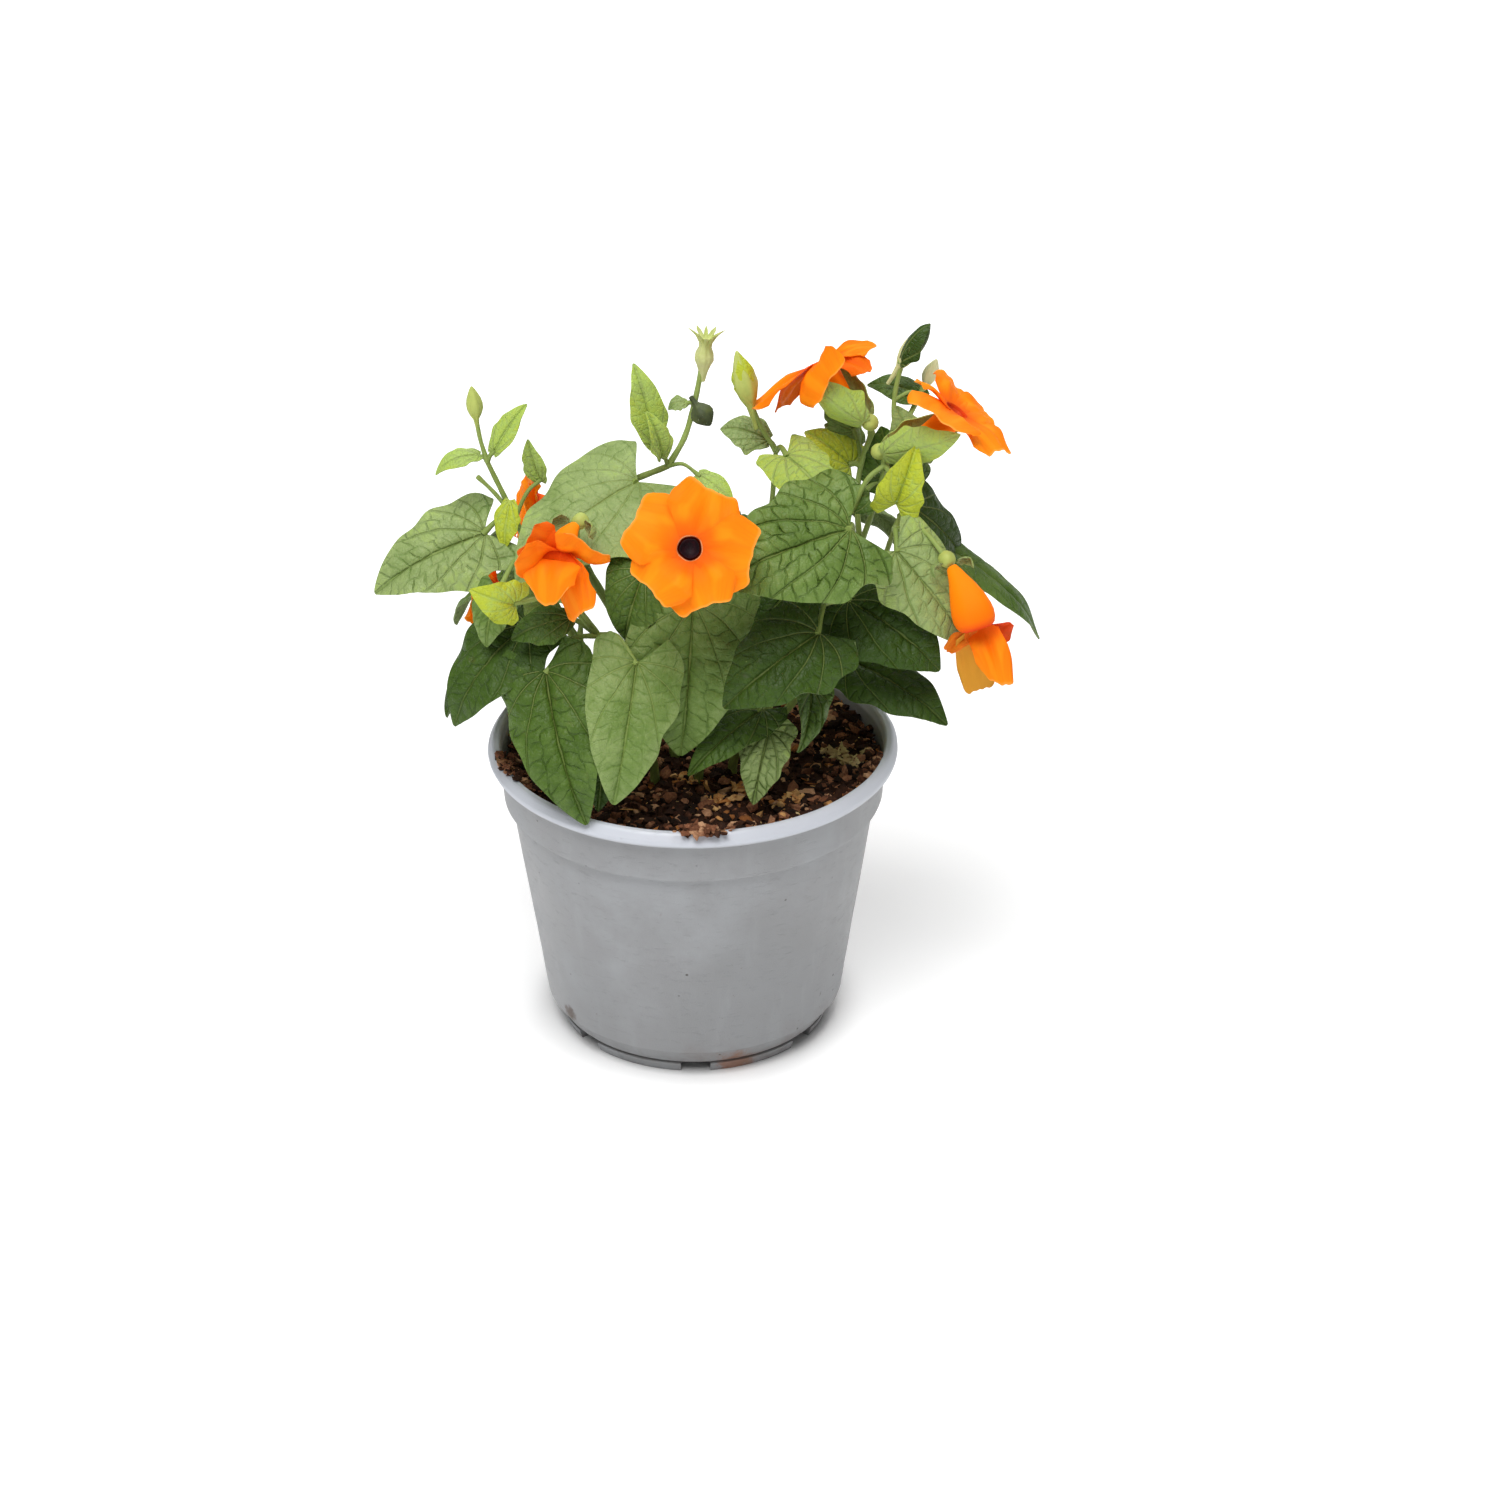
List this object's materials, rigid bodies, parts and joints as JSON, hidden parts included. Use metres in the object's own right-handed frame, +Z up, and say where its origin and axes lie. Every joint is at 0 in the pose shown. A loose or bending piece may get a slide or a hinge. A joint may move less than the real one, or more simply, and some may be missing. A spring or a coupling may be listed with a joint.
{
  "type": "potted black-eyed susan vine",
  "caption": "Potted climbing plant in a round grey plastic nursery pot: twining stems with heart-shaped leaves and flat orange blooms with dark eyes, standing in dark peat.",
  "frame": {"origin": "centre of the pot's underside, on the surface that it stands on", "axes": "+Z up along the pot's axis; -Y towards the front, which the open bloom in the middle faces; +X to the right seen from the front"},
  "size_m": [0.207, 0.1438, 0.234],
  "materials": {
    "pot": "smooth satin grey, faintly clouded and scuffed",
    "soil": "coarse moist peat with bark crumbs",
    "foliage": "soft satin leaf, quilted between the veins",
    "petal": "velvety petal",
    "eye": "matt dark throat"
  },
  "bodies": {
    "root": {"pot": "pot", "soil": "soil", "vine_front_left": "foliage", "vine_left": "foliage", "vine_middle_left": "foliage", "vine_middle": "foliage", "vine_middle_right": "foliage", "vine_right": "foliage", "vine_upper_right": "foliage", "vine_upper_middle": "foliage", "vine_back": "foliage", "vine_back_right": "foliage", "vine_back_left": "foliage", "vine_front_left_corolla_1": "petal", "vine_front_left_eye_1": "eye", "vine_middle_corolla_1": "petal", "vine_middle_eye_1": "eye", "vine_right_corolla_1": "petal", "vine_right_eye_1": "eye", "vine_upper_right_corolla_1": "petal", "vine_upper_right_eye_1": "eye", "vine_upper_right_corolla_2": "petal", "vine_upper_right_eye_2": "eye", "vine_back_corolla_1": "petal", "vine_back_eye_1": "eye", "vine_back_left_corolla_1": "petal", "vine_back_left_eye_1": "eye", "vine_back_left_corolla_2": "petal", "vine_back_left_eye_2": "eye"}
  },
  "joints": []
}
